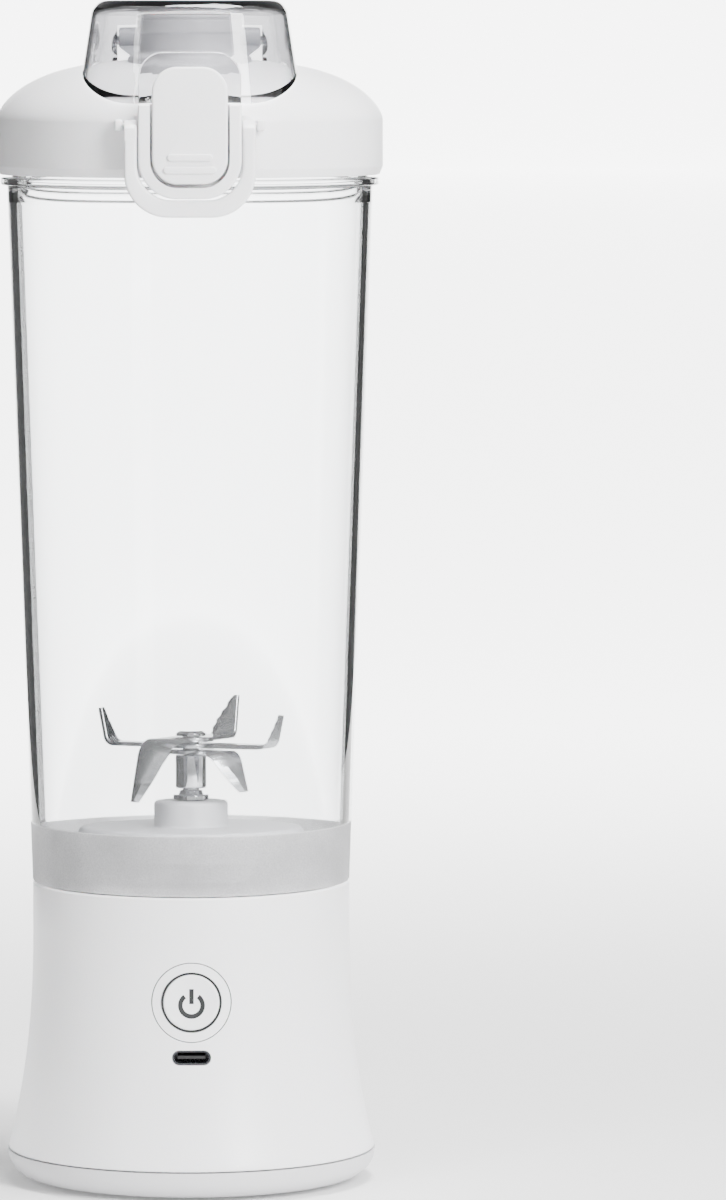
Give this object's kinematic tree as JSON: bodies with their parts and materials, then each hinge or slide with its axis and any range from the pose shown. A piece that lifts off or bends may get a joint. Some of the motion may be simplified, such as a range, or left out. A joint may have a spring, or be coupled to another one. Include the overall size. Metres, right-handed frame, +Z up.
{
  "type": "portable blender",
  "caption": "Cordless personal blender: flared motor base with a round power button and a charging port, clear tapered cup over bent steel blades, domed lid with a sprung flip cap and carry loop.",
  "frame": {"origin": "centre of the foot pad's underside, on the surface that the blender stands on", "axes": "+Z up along the cup's axis; -Y is the front, with the power button, charging port and release button; +X is to the viewer's right"},
  "size_m": [0.0928, 0.0983, 0.2844],
  "materials": {
    "shell_white": "satin moulded ABS",
    "underside_grey": "satin moulded ABS",
    "seat_grey": "fine matte moulded plastic",
    "clear_cup": "clear moulded copolyester with a frosted collar",
    "smoke_cap": "smoke-tinted clear moulded plastic",
    "silicone": "matte silicone",
    "dark_plastic": "matte black plastic",
    "grey_plastic": "satin grey plastic",
    "steel": "satin stainless steel",
    "chrome": "polished",
    "brass": "machined brass and copper windings",
    "circuit_board": "glass-fibre board",
    "cell_wrap": "shrink-wrapped steel cell",
    "magnet": "sintered ferrite"
  },
  "bodies": {
    "base": {"base_shell": "shell_white", "base_bottom_cap": "underside_grey", "foot_pad": "silicone", "bottom_screw_1": "steel", "bottom_screw_2": "steel", "bottom_screw_3": "steel", "blade_seat": "seat_grey", "neck_gasket": "silicone", "upper_bearing": "steel", "lower_bearing": "steel", "shaft_seal": "dark_plastic", "seal_retainer": "chrome", "motor_can": "steel", "motor_end_bell": "dark_plastic", "magnet_left": "magnet", "magnet_right": "magnet", "motor_plate": "steel", "motor_screw_1": "steel", "motor_screw_2": "steel", "plate_screw_1": "steel", "plate_screw_2": "steel", "battery_cell_left": "cell_wrap", "battery_cell_right": "cell_wrap", "battery_tray": "dark_plastic", "battery_link": "steel", "control_board": "circuit_board", "tact_switch": "dark_plastic", "usb_c_shell": "steel", "usb_c_tongue": "dark_plastic", "button_bezel": "shell_white", "light_ring": "grey_plastic"},
    "power_key": {"power_button": "shell_white", "switch_plunger": "dark_plastic"},
    "rotor": {"drive_shaft": "steel", "motor_armature": "brass", "shaft_coupling": "brass", "spacer_sleeve": "chrome", "blade_lower": "steel", "blade_middle": "steel", "blade_top": "steel", "blade_nut": "chrome"},
    "cup": {"cup": "clear_cup"},
    "lid": {"lid_body": "shell_white", "lid_gasket": "silicone", "spout": "seat_grey", "hinge_bracket": "grey_plastic", "hinge_pin": "steel", "hinge_spring": "steel", "release_pin": "steel", "release_spring": "steel"},
    "flip_cap": {"flip_cap": "smoke_cap", "cap_seal": "silicone"},
    "release_key": {"release_button": "shell_white"},
    "carry_loop": {"carry_loop": "shell_white"}
  },
  "joints": [
    {"name": "power_press", "type": "slide", "parent": "base", "child": "power_key", "axis": [0, 1, 0], "range_m": [0, 0.0008], "stiffness_N_per_m": 600},
    {"name": "blade_spin", "type": "hinge", "parent": "base", "child": "rotor", "pos_m": [0, 0, 0.09], "axis": [0, 0, 1], "continuous": true},
    {"name": "cup_lift", "type": "slide", "parent": "base", "child": "cup", "axis": [0, 0, 1], "range_m": [0, 0.06]},
    {"name": "lid_lift", "type": "slide", "parent": "cup", "child": "lid", "axis": [0, 0, 1], "range_m": [0, 0.03]},
    {"name": "cap_flip", "type": "hinge", "parent": "lid", "child": "flip_cap", "pos_m": [0, 0.03, 0.2745], "axis": [-1, 0, 0], "range_deg": [0, 120]},
    {"name": "release_press", "type": "hinge", "parent": "lid", "child": "release_key", "pos_m": [0, -0.0474, 0.2625], "axis": [1, 0, 0], "range_deg": [0, 5], "stiffness_Nm_per_rad": 0.08},
    {"name": "loop_swing", "type": "hinge", "parent": "lid", "child": "carry_loop", "pos_m": [0, -0.0459, 0.2552], "axis": [-1, 0, 0], "range_deg": [0, 100]}
  ]
}
